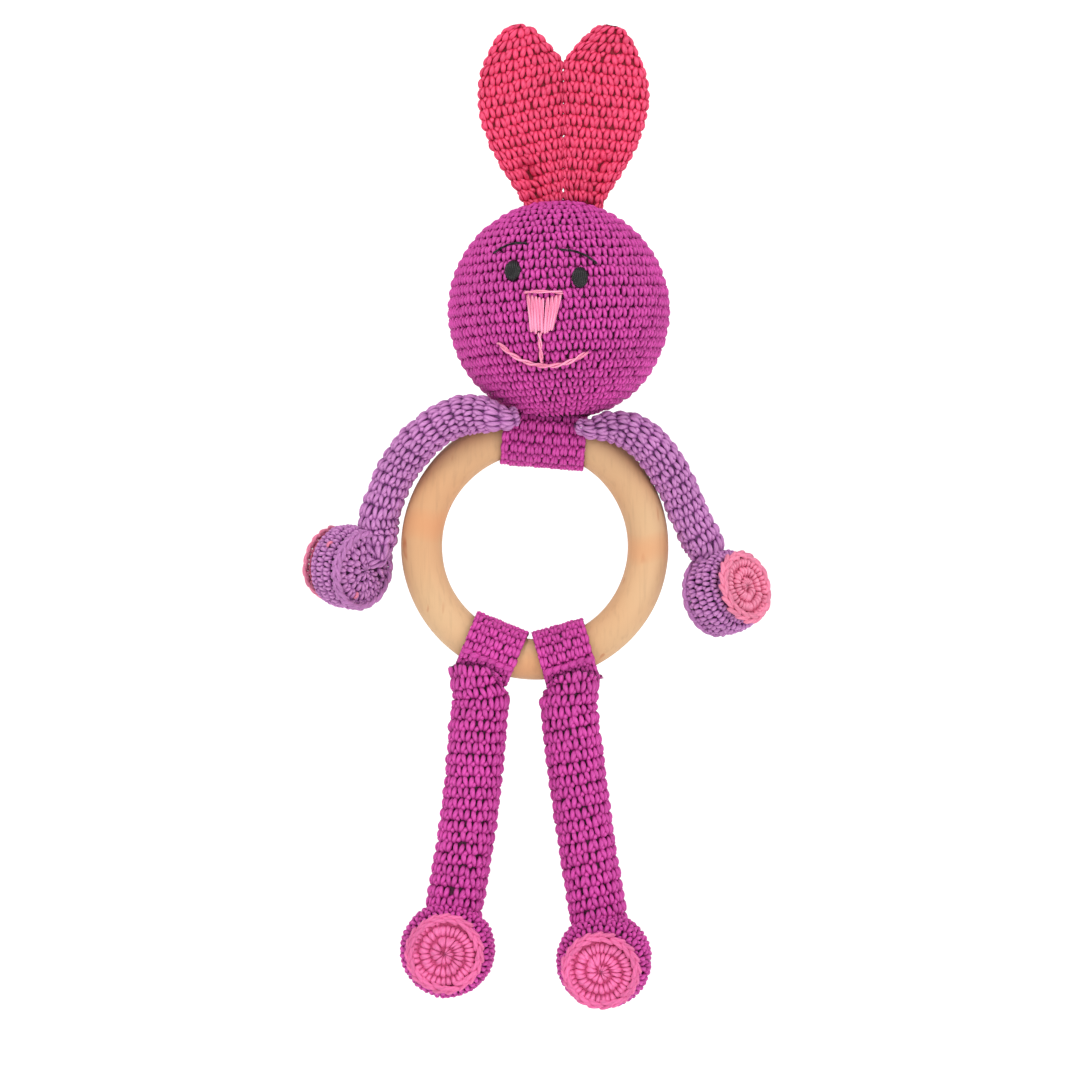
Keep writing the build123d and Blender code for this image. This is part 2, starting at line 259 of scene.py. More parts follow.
def yarn(name, deep, body, light):
    """Mercerised cotton: painted shade between the loops and a painted highlight on their tops,
    set by each point's rise; painted shade in the grooves between plies; plies and fibres.
    """
    n = Nodes(name)
    rise, tint = n.attribute("rise"), n.attribute("tint")
    # painted light: the deep colour is painted shade where loops dive in, the light colour a
    # painted highlight on their tops
    colour = n.ramp(rise, (0.0, deep), (0.5, body), (1.0, light))
    relief = strand_relief(n, YARN_PLIES, YARN_TWIST)
    # painted shade: the colour darkens in the grooves between the plies
    groove_shade = n.ramp(relief, (0.0, 0.72), (0.55, 1.0))
    colour = n.mix(0.55, colour, groove_shade, "MULTIPLY")
    tone = n.ramp(tint, (0.0, 0.82), (1.0, 1.0))
    colour = n.mix(1.0, colour, tone, "MULTIPLY")
    cloud = n.ramp(n.noise(55, 3), (0.3, 0.88), (0.7, 1.0))
    colour = n.mix(1.0, colour, cloud, "MULTIPLY")
    fibre = n.noise(2600, 3, 0.7)
    colour = n.mix(0.35, colour, n.ramp(fibre, (0.3, 0.7), (0.75, 1.15)), "MULTIPLY")
    n.link(colour, n.shader.inputs["Base Color"])
    n.link(n.ramp(fibre, (0.2, 0.5), (0.8, 0.75)), n.shader.inputs["Roughness"])
    n.set(Specular_IOR_Level=0.35, Sheen_Weight=0.15, Sheen_Roughness=0.45)
    n.shader.inputs["Sheen Tint"].default_value = light
    ply_bump = n.bump(relief, 0.00016, 0.8)
    n.link(n.bump(fibre, 0.00006, 0.7, ply_bump), n.shader.inputs["Normal"])
    return n.material


def thread(name, dark, bright, twist, sheen=0.2):
    """Embroidery thread: satin, twisted, with fine fibres; its first colour is painted shade in
    the grooves between its plies.
    """
    n = Nodes(name)
    relief = strand_relief(n, 2, twist)
    colour = n.ramp(relief, (0.0, dark), (0.6, bright))
    fibre = n.noise(3200, 3, 0.7)
    colour = n.mix(0.3, colour, n.ramp(fibre, (0.3, 0.7), (0.75, 1.15)), "MULTIPLY")
    tone = n.ramp(n.attribute("tint"), (0.0, 0.86), (1.0, 1.0))
    n.link(n.mix(1.0, colour, tone, "MULTIPLY"), n.shader.inputs["Base Color"])
    n.set(Roughness=0.45, Specular_IOR_Level=0.4, Sheen_Weight=sheen)
    n.link(n.bump(fibre, 0.00004, 0.6, n.bump(relief, 0.00012, 0.8)), n.shader.inputs["Normal"])
    return n.material


def beech(name):
    """Bare sanded beech: pale tan, growth bands, long pores and short red-brown ray flecks."""
    n = Nodes(name)
    lean = (0, math.radians(-14), 0)
    band = n.noise(26, 3, 0.5, (1.0, 1.0, 0.28), lean)
    colour = n.ramp(band, (0.3, srgb(191, 153, 114)), (0.5, srgb(200, 164, 124)),
                    (0.7, srgb(206, 173, 134)))
    pores = n.noise(900, 2, 0.6, (1.0, 1.0, 0.05), lean)
    colour = n.mix(0.6, colour, n.ramp(pores, (0.3, 0.86), (0.5, 1.0)), "MULTIPLY")
    flecks = n.noise(430, 1, 0.4, (1.0, 1.0, 0.22), lean)
    sparse = n.noise(70, 2, 0.5)
    fleck = n.math("MULTIPLY", n.ramp(flecks, (0.66, 0.0), (0.72, 1.0)),
                   n.ramp(sparse, (0.46, 0.0), (0.58, 0.8)))
    colour = n.mix(fleck, colour, srgb(176, 112, 72))
    arcs = n.add("ShaderNodeTexWave", wave_type="RINGS", rings_direction="X")
    arcs.inputs["Scale"].default_value = 30
    arcs.inputs["Distortion"].default_value = 3.5
    arcs.inputs["Detail"].default_value = 2
    arcs.inputs["Detail Scale"].default_value = 0.6
    place = n.add("ShaderNodeMapping")
    place.inputs["Location"].default_value = (0.012, 0.01, 0.14)
    place.inputs["Scale"].default_value = (1.0, 1.6, 0.30)
    n.link(n.add("ShaderNodeTexCoord").outputs["Object"], place.inputs["Vector"])
    n.link(place.outputs[0], arcs.inputs["Vector"])
    colour = n.mix(n.ramp(arcs.outputs["Fac"], (0.86, 0.0), (1.0, 0.42)), colour,
                   srgb(206, 146, 100))
    warm = n.ramp(n.noise(34, 1), (0.35, srgb(255, 236, 226)), (0.65, srgb(255, 255, 255)))
    n.link(n.mix(1.0, colour, warm, "MULTIPLY"), n.shader.inputs["Base Color"])
    n.set(Roughness=0.58, Specular_IOR_Level=0.35)
    n.link(n.bump(pores, 0.00005, 0.5), n.shader.inputs["Normal"])
    return n.material


def fibre_filling(name):
    n = Nodes(name)
    wisps = n.noise(420, 6, 0.75, (1, 1, 0.4))
    n.link(n.ramp(wisps, (0.3, 0.55), (0.7, 0.93)), n.shader.inputs["Base Color"])
    n.set(Roughness=0.95, Sheen_Weight=0.5)
    n.link(n.bump(wisps, 0.0008), n.shader.inputs["Normal"])
    return n.material


def moulded(name, colour, clear=0.0):
    n = Nodes(name)
    haze = n.noise(120, 3)
    n.link(n.mix(n.ramp(haze, (0.3, 0.0), (0.7, 0.25)), colour, (0.9, 0.9, 0.9, 1)),
           n.shader.inputs["Base Color"])
    n.set(Roughness=0.32, Transmission_Weight=clear)
    n.link(n.bump(n.noise(900, 2), 0.00003, 0.4), n.shader.inputs["Normal"])
    return n.material


# Each yarn: a deep colour that is painted shade between the loops, its own colour, and a light
# colour that is a painted highlight on the loops' tops.
MAGENTA = yarn("magenta yarn", srgb(70, 0, 46), srgb(172, 34, 128), srgb(224, 78, 178))
ORCHID = yarn("orchid yarn", srgb(64, 22, 66), srgb(160, 86, 158), srgb(212, 142, 204))
RED = yarn("red yarn", srgb(140, 6, 34), srgb(226, 40, 88), srgb(248, 84, 128))
PINK = yarn("pink yarn", srgb(168, 30, 74), srgb(230, 88, 148), srgb(248, 124, 182))
PALM_PINK = yarn("palm pink yarn", srgb(170, 50, 80), srgb(232, 108, 146), srgb(250, 150, 182))
ROSE_THREAD = thread("pale pink thread", srgb(226, 112, 150), srgb(252, 156, 192), twist=0.5)
BLACK_THREAD = thread("black thread", srgb(3, 3, 4), srgb(14, 13, 16), twist=0.8, sheen=0.0)
BEECH = beech("sanded beech")
FILLING = fibre_filling("fibre filling")
CAPSULE = moulded("capsule plastic", srgb(206, 210, 216), 0.3)
PELLET = moulded("pellet plastic", srgb(214, 92, 70))

CAD_MATERIALS = {"fibre_filling": FILLING, "capsule_plastic": CAPSULE, "pellet_plastic": PELLET}


# ------------------------------------------------------------------ strands and loops
class Work:
    """Collects strands of one piece and turns them into a single mesh."""

    def __init__(self):
        self.points, self.faces, self.rise, self.tint, self.strand = [], [], [], [], []
        self.size = 0

    def add(self, points, faces, rise, tint, strand):
        """points (n, 3), faces (m, 3), rise and tint (n,), strand (m, 3, 2)."""
        self.points.append(points.reshape(-1, 3))
        self.faces.append(faces.reshape(-1, 3) + self.size)
        self.rise.append(rise.ravel())
        self.tint.append(tint.ravel())
        self.strand.append(strand.reshape(-1, 2))
        self.size += len(self.points[-1])

    def copies(self, points, template, tint):
        """points (k, n, 3) are k moved copies of a template's points."""
        k, n = points.shape[:2]
        faces = template.faces[None] + (np.arange(k) * n)[:, None, None]
        self.add(points, faces, np.tile(template.rise, k), np.repeat(tint, n),
                 np.tile(template.strand, (k, 1, 1)))

    def make(self, name, material, body, replaced=(), sewn_to=None):
        """sewn_to is (body, start, end); when it is given the piece is left unparented with its
        transform baked in, and these values are not used.
        """
        mesh = bpy.data.meshes.new(name)
        points = np.concatenate(self.points) * MM
        faces = np.concatenate(self.faces)
        mesh.vertices.add(len(points))
        mesh.vertices.foreach_set("co", points.astype(np.float32).ravel())
        mesh.loops.add(faces.size)
        mesh.loops.foreach_set("vertex_index", faces.astype(np.int32).ravel())
        mesh.polygons.add(len(faces))
        mesh.polygons.foreach_set("loop_start", np.arange(0, faces.size, 3, dtype=np.int32))
        mesh.polygons.foreach_set("use_smooth", np.ones(len(faces), dtype=bool))
        for label, values in (("rise", self.rise), ("tint", self.tint)):
            layer = mesh.attributes.new(label, "FLOAT", "POINT")
            layer.data.foreach_set("value", np.concatenate(values).astype(np.float32))
        uv = mesh.uv_layers.new(name="strand")
        uv.data.foreach_set("uv", np.concatenate(self.strand).astype(np.float32).ravel())
        mesh.update(calc_edges=True)
        mesh.validate()
        piece = bpy.data.objects.new(name, mesh)
        bpy.context.scene.collection.objects.link(piece)
        mesh.materials.append(material)
        if sewn_to:
            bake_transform(piece)
        else:
            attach(piece, body)
        if replaced:
            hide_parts(*replaced)
        return piece


class Template:
    """One loop of yarn, or several, as points in millimetres (across, along, height)."""

    def __init__(self, points, faces, rise, strand):
        self.points, self.faces, self.rise, self.strand = points, faces, rise, strand

    def __add__(self, other):
        return Template(
            np.concatenate([self.points, other.points]),
            np.concatenate([self.faces, other.faces + len(self.points)]),
            np.concatenate([self.rise, other.rise]),
            np.concatenate([self.strand, other.strand]),
        )


def tube_faces(rings, sides):
    """Triangles of a tube of rings with a pole at each end, and their strand coordinates.
    Points are: first pole, the rings one after another, last pole."""
    faces, strand = [], []
    last = 1 + rings * sides
    for j in range(sides):
        k = (j + 1) % sides
        u, w = j / sides, (j + 1) / sides
        faces.append((0, 1 + k, 1 + j))
        strand.append(((u, 0), (w, 0.5), (u, 0.5)))
        for i in range(rings - 1):
            a, b = 1 + i * sides, 1 + (i + 1) * sides
            faces.append((a + j, a + k, b + k))
            strand.append(((u, i + 0.5), (w, i + 0.5), (w, i + 1.5)))
            faces.append((a + j, b + k, b + j))
            strand.append(((u, i + 0.5), (w, i + 1.5), (u, i + 1.5)))
        a = 1 + (rings - 1) * sides
        faces.append((a + j, a + k, last))
        strand.append(((u, rings - 0.5), (w, rings - 0.5), (u, rings)))
    strand = np.array(strand, float)
    strand[..., 1] *= 0.5
    return np.array(faces), strand


def lobe(start, end, radius, lift=0.0, bow=0.0, dive=0.85, rings=7, sides=8, plump=0.36):
    """A plump visible bit of yarn between two places; its ends dive into the fabric."""
    start, end = np.array(start, float), np.array(end, float)
    along = end - start
    length = np.linalg.norm(along)
    along = along / length
    side = np.array([along[1], -along[0]])
    faces, strand = tube_faces(rings, sides)
    t = (np.arange(rings) + 0.5) / rings
    arch = np.sin(math.pi * t)
    girth = radius * arch ** plump
    height = lift + dive * (arch ** 0.55 - 1)
    flat = start + np.outer(t, end - start) + np.outer(arch * bow, side)
    angle = np.arange(sides) / sides * TURN
    points = np.empty((rings * sides + 2, 3))
    ring = points[1:-1].reshape(rings, sides, 3)
    ring[..., :2] = flat[:, None] + side * (girth[:, None] * np.cos(angle))[..., None]
    ring[..., 2] = height[:, None] + girth[:, None] * np.sin(angle)
    points[0] = (*start, lift - dive)
    points[-1] = (*end, lift - dive)
    if np.cross(np.append(side, 0), (0, 0, 1)) @ np.append(along, 0) < 0:
        faces = faces[:, ::-1]
        strand = strand[:, ::-1]
    # rise: 0 where the loop dives in, 1 on its top; the yarn colours it from painted shade up to a
    # painted highlight
    rise = np.clip((points[:, 2] - (lift - dive)) / (dive + radius), 0, 1)
    return Template(points, faces, rise, strand * np.array([1.0, length / rings * 2]))


def rope(work, points, radius, sides=8, tint=None, taper=0.5, lean=DEPTH, rise=0.8):
    """A smooth round strand along a path, closed and rounded at both ends."""
    points = np.asarray(points, float)
    n = len(points)
    radius = np.broadcast_to(radius, n).astype(float).copy()
    if taper:
        edge = np.clip(np.minimum(np.arange(n), np.arange(n)[::-1]) / max(1.0, n * 0.12), 0, 1)
        radius *= taper + (1 - taper) * np.sqrt(edge)
    heading = np.gradient(points, axis=0)
    heading /= np.linalg.norm(heading, axis=1)[:, None]
    side = np.cross(heading, lean)
    side /= np.maximum(np.linalg.norm(side, axis=1), 1e-9)[:, None]
    other = np.cross(heading, side)
    angle = np.arange(sides) / sides * TURN
    across = np.cos(angle)[None, :, None] * side[:, None]
    body = points[:, None] + radius[:, None, None] * (
        across + np.sin(angle)[None, :, None] * other[:, None])
    cap = radius[0] * 0.6
    all_points = np.concatenate(
        [[points[0] - heading[0] * cap], body.reshape(-1, 3), [points[-1] + heading[-1] * cap]])
    faces, strand = tube_faces(n, sides)
    step = np.linalg.norm(np.diff(points, axis=0), axis=1).mean()
    strand = strand * np.array([1.0, 2 * step])
    tint = rng.random() if tint is None else tint
    # rise picks one level on the yarn's ramp from painted shade to painted highlight for the whole
    # strand
    work.add(all_points, faces, np.full(len(all_points), rise), np.full(len(all_points), tint),
             strand)


def resampled(points, count):
    """The same path with evenly spaced points."""
    points = np.asarray(points, float)
    steps = np.linalg.norm(np.diff(points, axis=0), axis=1)
    run = np.concatenate([[0], np.cumsum(steps)])
    at = np.linspace(0, run[-1], count)
    return np.stack([np.interp(at, run, points[:, k]) for k in range(points.shape[1])], 1)


TWINE_PLIES = 2
TWINE_LOOSE = 0.62                        # from the middle to a ply's centre, in radii
PLY_SHARE = 0.62                          # a ply's radius, in radii


def twine(work, points, radius, pitch):
    """Twisted thread: plies that wind round one another along a path."""
    length = np.linalg.norm(np.diff(points, axis=0), axis=1).sum()
    path = resampled(points, max(12, int(length / 0.28)))
    heading = np.gradient(path, axis=0)
    heading /= np.linalg.norm(heading, axis=1)[:, None]
    side = np.cross(heading, -DEPTH)
    side /= np.maximum(np.linalg.norm(side, axis=1), 1e-9)[:, None]
    out = np.cross(side, heading)
    run = np.linspace(0, length, len(path))
    for ply in range(TWINE_PLIES):
        angle = TURN * (run / pitch + ply / TWINE_PLIES)
        offset = radius * TWINE_LOOSE * (
            np.cos(angle)[:, None] * side + np.sin(angle)[:, None] * out)
        rope(work, path + offset, radius * PLY_SHARE, sides=7)


def stitch(width, height, thick=0.59, splay=1.0, fat=1.0):
    """The visible V of a single crochet with the bump at its lower left, in a cell whose
    size is in millimetres; the V opens along the row's growth."""
    w, h = width, height
    left = lobe((-0.10 * w, -0.14 * h), (-0.12 * w - 0.26 * w * splay, 1.04 * h), thick * fat, 0.0,
                -0.10)
    right = lobe((0.10 * w, -0.16 * h), (0.10 * w + 0.18 * w * splay, 1.0 * h), thick * fat, 0.05,
                 0.10)
    bump = lobe((-0.64 * w, -0.26 * h), (-0.42 * w, 0.32 * h), thick * 0.92, -0.10, 0.0, rings=5)
    return left + right + bump


def pair(width, height, thick=0.62):
    """Two fat parallel lobes, as the worked discs of the feet and palms show."""
    w, h = width, height
    left = lobe((-0.20 * w, -0.10 * h), (-0.26 * w, 1.04 * h), thick, 0.0, -0.10)
    right = lobe((0.20 * w, -0.12 * h), (0.26 * w, 1.02 * h), thick * 0.95, 0.06, 0.08)
    return left + right


class Form:
    """A soft form: place(a, s) gives points. a goes round it in radians, or across it in mm
    when it is a strip; s runs along it in mm."""

    STEP = 0.01

    def __init__(self, place, middle_s, strip=None):
        self.place, self.strip, self.hand = place, strip, 1
        if strip is None:
            a, s = np.linspace(0, TURN, 16, endpoint=False), np.full(16, float(middle_s))
        else:
            a, s = np.zeros(16), np.linspace(0, middle_s * 2, 16, endpoint=False)
        here = place(a, s)
        outward = here - here.mean(0)
        normal = np.cross(place(a + self.STEP, s) - here, place(a, s + self.STEP) - here)
        if (normal * outward).sum() < 0:
            self.hand = -1

    def at(self, a, s, height):
        here = self.place(self.hand * a, s)
        across = self.place(self.hand * (a + self.STEP), s) - here
        along = self.place(self.hand * a, s + self.STEP) - here
        normal = np.cross(across, along)
        normal /= np.maximum(np.linalg.norm(normal, axis=-1), 1e-12)[..., None]
        return here + normal * height[..., None]

    def girth(self, s):
        a = np.linspace(0, TURN, 33)
        ring = self.place(a, np.full(33, float(s)))
        return np.linalg.norm(np.diff(ring, axis=0), axis=1).sum()


def crochet(work, form, start, stop, cell, width, row, sink=0.58, shift=0.36, loose=0.05,
            guard=None, phase=0.0, count=None, skip=None, done=0):
    """Works a spiral of a stitch over a form from s = start to stop, or straight rows on a
    strip. cell is a Template made for width x row. sink puts the loops' tops level with the
    form's surface. skip says which stitches are left out, by their middles. phase is where the
    spiral begins, in turns, and done is how many of its rounds another piece has worked."""
    rows = max(1, round(abs(stop - start) / row))
    pitch = (stop - start) / rows
    template = cell.points
    fixed = count

    def stitches(base):
        if fixed:
            return fixed
        if form.strip is None:
            return max(5, round(form.girth(max(base + pitch / 2, 0.25 * pitch)) / width))
        return max(2, round(2 * form.strip / width))

    spin = phase
    if done:
        spin += sum(shift / stitches(start - pitch * j) for j in range(2, done + 2))
    for i in range(0 if form.strip else -1, rows):
        base = start + pitch * i
        turns = stitches(base)
        col = np.arange(turns)
        if form.strip is None:
            begins = base + pitch * col / turns
            col = col[(begins >= start - 0.45 * pitch) & (begins < stop - 0.45 * pitch)]
        if skip is not None and len(col):
            middle = form.at((col / turns * (1 + shift / turns) + spin) * TURN,
                             base + pitch * (0.5 + col / turns), np.full(len(col), -sink))
            col = col[~skip(middle)]
        began, spin = spin, spin + shift / turns
        count = len(col)
        if not count:
            continue
        jog = rng.normal(0, loose, (count, 3))
        lean = rng.normal(0, 0.05, count)
        u = template[None, :, 0] / width + (lean[:, None] * template[None, :, 1] / row)
        v = template[None, :, 1] / row + jog[:, 1, None]
        grow = 1 + rng.normal(0, 0.05, count)
        if form.strip is None:
            turn = col + jog[:, 0]
            a = ((turn[:, None] + u) / turns * (1 + shift / turns) + began) * TURN
            s = base + pitch * (v + (col / turns)[:, None])
        else:
            turn = col + 0.5 + jog[:, 0] * 0.6
            a = (turn[:, None] + u) / turns * 2 * form.strip - form.strip
            a = np.clip(a, -form.strip, form.strip)
            s = base + pitch * v
        height = (template[None, :, 2] * grow[:, None]) - sink + jog[:, 2, None] * 1.6
        points = form.at(a, s, height)
        if guard is not None:
            points = guard(points)
        work.copies(points, cell, 0.25 + 0.75 * rng.random(count))


def grid_faces(rows, cols):
    """Triangles of a grid that wraps round both ways."""
    i, j = np.meshgrid(np.arange(rows), np.arange(cols), indexing="ij")
    a, b = i * cols + j, i * cols + (j + 1) % cols
    c, d = ((i + 1) % rows) * cols + (j + 1) % cols, ((i + 1) % rows) * cols + j
    return np.concatenate([np.stack([a, b, c], -1).reshape(-1, 3),
                           np.stack([a, c, d], -1).reshape(-1, 3)])


def outward(points, faces):
    """Faces turned so that the closed mesh's volume is positive."""
    a, b, c = (points[faces[:, k]] for k in range(3))
    return faces if (a * np.cross(b, c)).sum() > 0 else faces[:, ::-1]


def closed_wall(work, points, rise, tint=0.5):
    """Adds a grid of points that closes on itself both ways, as one solid mesh."""
    faces = grid_faces(points.shape[0], points.shape[1])
    points = points.reshape(-1, 3)
    work.add(points, outward(points, faces), np.full(len(points), rise),
             np.full(len(points), tint), np.zeros((len(faces), 3, 2)))


def lining(work, form, start, stop, depth=1.25, thick=0.35, rows=24, cols=48, guard=None,
           shade=0.0):
    """The knotted back of the loops: a closed thin wall just under the stitches, dark as painted
    shade in the gaps between them.
    """
    a = np.linspace(0, TURN, cols, endpoint=False)[None]
    a, s = np.broadcast_arrays(a, np.linspace(start, stop, rows)[:, None])
    outer = form.at(a, s, np.full(a.shape, -depth))
    inner = form.at(a, s, np.full(a.shape, -depth - thick))
    points = np.concatenate([outer, inner[::-1]])
    if guard is not None:
        points = guard(points)
    closed_wall(work, points, shade)


def keep_off(origin, direction, radius):
    """A guard that moves points out of a cylinder, straight away from its axis."""
    origin, direction = np.asarray(origin, float), unit(direction)

    def guard(points):
        from_axis = points - origin
        from_axis = from_axis - (from_axis @ direction)[..., None] * direction
        away = np.linalg.norm(from_axis, axis=-1)[..., None]
        push = np.maximum(radius - away, 0) / np.maximum(away, 1e-9)
        return points + from_axis * push

    return guard


def keep_out(centre, radius):
    """A guard that moves points out of a ball, straight away from its centre."""
    def guard(points):
        from_centre = points - centre
        away = np.linalg.norm(from_centre, axis=-1)[..., None]
        return centre + from_centre * np.maximum(radius / np.maximum(away, 1e-9), 1)

    return guard


def inside_drum(centre, axis, radius, half):
    """Says which places lie inside a hand or foot, where a limb's loops would be hidden."""
    def inside(points):
        from_centre = points - centre
        along = from_centre @ axis
        across = np.linalg.norm(from_centre - along[:, None] * axis, axis=1)
        return (np.abs(along) < half) & (across < radius)

    return inside


def sloped(form, length, middle_x, slope, over=10.0):
    """The same form with its last rows sloped across X."""
    def place(a, s):
        points = form.place(a, s)
        share = np.clip((s - length + over) / over, 0, 1)
        points[..., 2] += slope * (points[..., 0] - middle_x) * share
        return points

    return Form(place, length / 2)


def domed(line, size, flat=0.6, steps=4):
    """The same limb with its far end closed by a dome."""
    heading = unit(line[-1] - line[-2])
    turn = np.linspace(0, math.pi / 2, steps + 1)[1:] * 0.97
    ends = line[-1] + heading * (size[-1] * flat * np.sin(turn))[:, None]
    return np.concatenate([line, ends]), np.concatenate([size, size[-1] * np.cos(turn)])


# ------------------------------------------------------------------ forms
def turned_form(centre, axis, profile, x_dir=None):
    """A form turned round an axis from (radius, height) points."""
    centre, axis = np.asarray(centre, float), unit(axis)
    x_dir = unit(np.cross(axis, DEPTH) if x_dir is None else x_dir)
    y_dir = np.cross(axis, x_dir)
    profile = np.asarray(profile, float)
    run = run_of(profile)

    def place(a, s):
        r = np.maximum(np.interp(s, run, profile[:, 0]), 0.03)
        r = r + np.where(s < 0, 0.02 * s, 0)
        h = np.interp(s, run, profile[:, 1])
        return (centre + (r * np.cos(a))[..., None] * x_dir + (r * np.sin(a))[..., None] * y_dir
                + h[..., None] * axis)

    return Form(place, run[-1] * 0.45), run[-1]


def drum_profile(radius, half, rounding, crown=0.0, steps=10):
    """Half outline of a stuffed round cushion, from one face's centre to the other's."""
    turn = np.linspace(0, math.pi / 2, steps)
    rim = [(radius - rounding + rounding * math.sin(t), half - rounding + rounding * math.cos(t))
           for t in turn]
    face = [(r, half + crown * (1 - (r / radius) ** 2))
            for r in np.linspace(0, radius - rounding, 7)]
    top = face[:-1] + rim
    return np.array(top + [(r, -h) for r, h in top[::-1]])


def tube_of(centres, wide, deep, closed=False):
    """A form along a path with elliptical sections, that ends in a point where it is closed."""
    centres = np.asarray(centres, float)
    run = run_of(centres)
    heading = np.gradient(centres, run, axis=0)
    heading /= np.linalg.norm(heading, axis=1)[:, None]
    x_dir = np.cross(DEPTH, heading)
    x_dir /= np.linalg.norm(x_dir, axis=1)[:, None]
    y_dir = np.cross(heading, x_dir)

    def pick(values, s):
        return np.stack([np.interp(s, run, values[:, k]) for k in range(3)], -1)

    def place(a, s):
        over = s - np.clip(s, 0, run[-1])
        over = np.where(closed & (over > 0), 0.02 * over, over)
        return (pick(centres, s) + pick(heading, s) * over[..., None]
                + pick(x_dir, s) * (np.interp(s, run, wide) * np.cos(a))[..., None]
                + pick(y_dir, s) * (np.interp(s, run, deep) * np.sin(a))[..., None])

    return Form(place, run[-1] / 2), run[-1]


# ------------------------------------------------------------------ wooden ring
ring_low, ring_high = cad_box("wooden_ring")
tube_r = (ring_high[1] - ring_low[1]) / 2
ring_r = (ring_high[0] - ring_low[0]) / 2 - tube_r


def make_ring():
    """The turned ring, with the slight unevenness that hand sanding leaves."""
    around, section = 256, 64
    a = np.linspace(0, TURN, around, endpoint=False)[:, None]
    b = np.linspace(0, TURN, section, endpoint=False)[None]
    uneven = 0.05 * np.sin(3 * a + 0.4) * np.cos(b) + 0.03 * np.sin(7 * a + 2 * b) - 0.06
    r = tube_r + uneven
    out = ring_r + r * np.cos(b)
    points = np.stack([out * np.sin(a), r * np.sin(b) + 0 * a, out * np.cos(a)], -1)
    work = Work()
    closed_wall(work, points, 1.0, 1.0)
    return work.make("turned_ring", BEECH, "ring", ["wooden_ring"])


make_ring()


# ------------------------------------------------------------------ sleeves on the ring
def sleeve_form(node):
    """A band's form and its frame: a is mm along the ring, s mm round the wood, from the back."""
    middle = cad_middle(node)
    out = unit([middle[0], 0, middle[2]])
    along = np.array([out[2], 0, -out[0]])
    points = node_points(node)
    centre = out * ring_r
    reach = (points - centre) @ out
    half_width = np.abs((points - centre) @ along).max()
    half_depth = points[:, 1].max()
    mid_out = (reach.max() + reach.min()) / 2
    half_out = (reach.max() - reach.min()) / 2
    turn = np.linspace(0, TURN, 241)
    ring = np.stack([half_depth * np.cos(turn), half_out * np.sin(turn)], 1)
    run = run_of(ring)

    def place(a, s):
        t = np.interp(np.mod(s, run[-1]), run, turn)
        return (centre + a[..., None] * along + (half_depth * np.cos(t))[..., None] * DEPTH
                + (mid_out + half_out * np.sin(t))[..., None] * out)

    return Form(place, run[-1] / 2, half_width), run[-1], centre, out, along


def sleeve_core(work, form, length, centre, out, along):
    """The band's inner cloth, from just under the stitches to the wood, near the yarn's deep
    colour as painted shade between the loops.
    """
    rows, cols = 15, 56
    a = np.linspace(-form.strip + 0.35, form.strip - 0.35, rows)
    s = np.linspace(0, length, cols, endpoint=False)
    a, s = np.broadcast_arrays(a[:, None], s[None])
    outer = form.at(a, s, np.full(a.shape, -1.15))
    sag = np.sqrt(ring_r ** 2 - a ** 2)
    from_tube = outer - centre
    radial, deep = from_tube @ out - (sag - ring_r), from_tube @ DEPTH
    size = (tube_r + 0.12) / np.sqrt((radial * sag / ring_r) ** 2 + deep ** 2)
    x = (outer - centre) @ along
    inner = (centre + x[..., None] * along + (sag - ring_r + radial * size)[..., None] * out
             + (deep * size)[..., None] * DEPTH)
    points = np.concatenate([outer, inner[::-1]])
    closed_wall(work, points, 0.05)


def make_sleeve(node, body, name, width, row, phase, splay):
    """A crocheted band round the wood, with a row of stitches along both edges."""
    form, length, centre, out, along = sleeve_form(node)
    work = Work()
    cell = stitch(width, row, 0.62, splay=splay)
    crochet(work, form, phase, phase + length, cell, width, row, shift=0)
    edge_cell = lobe((0, 0.02 * row), (0, 0.98 * row), 0.55, -0.1, 0.0, dive=0.5)
    for side in (-1, 1):
        count = round(length / 2.4)
        turn = np.arange(count)[:, None] + edge_cell.points[None, :, 1] / row
        s = phase + turn * length / count
        a = side * (form.strip - 0.75) + edge_cell.points[None, :, 0] + 0 * s
        points = form.at(a, s, edge_cell.points[None, :, 2] - 0.7 + 0 * s)
        work.copies(points, edge_cell, 0.3 + 0.7 * rng.random(count))
    sleeve_core(work, form, length, centre, out, along)
    work.make(name, MAGENTA, body, [node])
    return form, length, centre, out, along


def make_sleeve_seam(node, name, body, side, sleeve, count):
    """Row of long sewing stitches across a band."""
    form, _, centre, out, along = sleeve
    level = (cad_middle(node) - centre) @ out
    face = abs(cad_box(node)[0 if side < 0 else 1][1])
    along_stitch = np.linspace(-0.96, 0.96, 13)
    work = Work()
    for k in range(count):
        x = (k + 0.5) / count * 2 * (form.strip - 0.5) - (form.strip - 0.5)
        reach = 0.43 * 2 * form.strip / count
        tilt = rng.normal(0, 0.12)
        path = []
        for t in along_stitch:
            spot = centre + along * (x + t * reach) + out * (level + 0.28 * t + tilt)
            depth = face - 1.2 - 0.9 * t ** 4
            path.append([spot[0], side * depth, spot[2]])
        girth = 0.78 * (1 - along_stitch ** 2) ** 0.4 * (1 + 0.05 * rng.normal())
        rope(work, path, girth, sides=10, taper=0)
        for knot in (-1, 1):
            spot = centre + along * (x + knot * reach * 1.05) + out * (level - 0.15)
            spot[1] = side * (face - 1.5)
            rope(work, [spot - out * 0.7, spot, spot + out * 0.7], 0.45, taper=0.4)
    work.make(name, MAGENTA, body, [node])


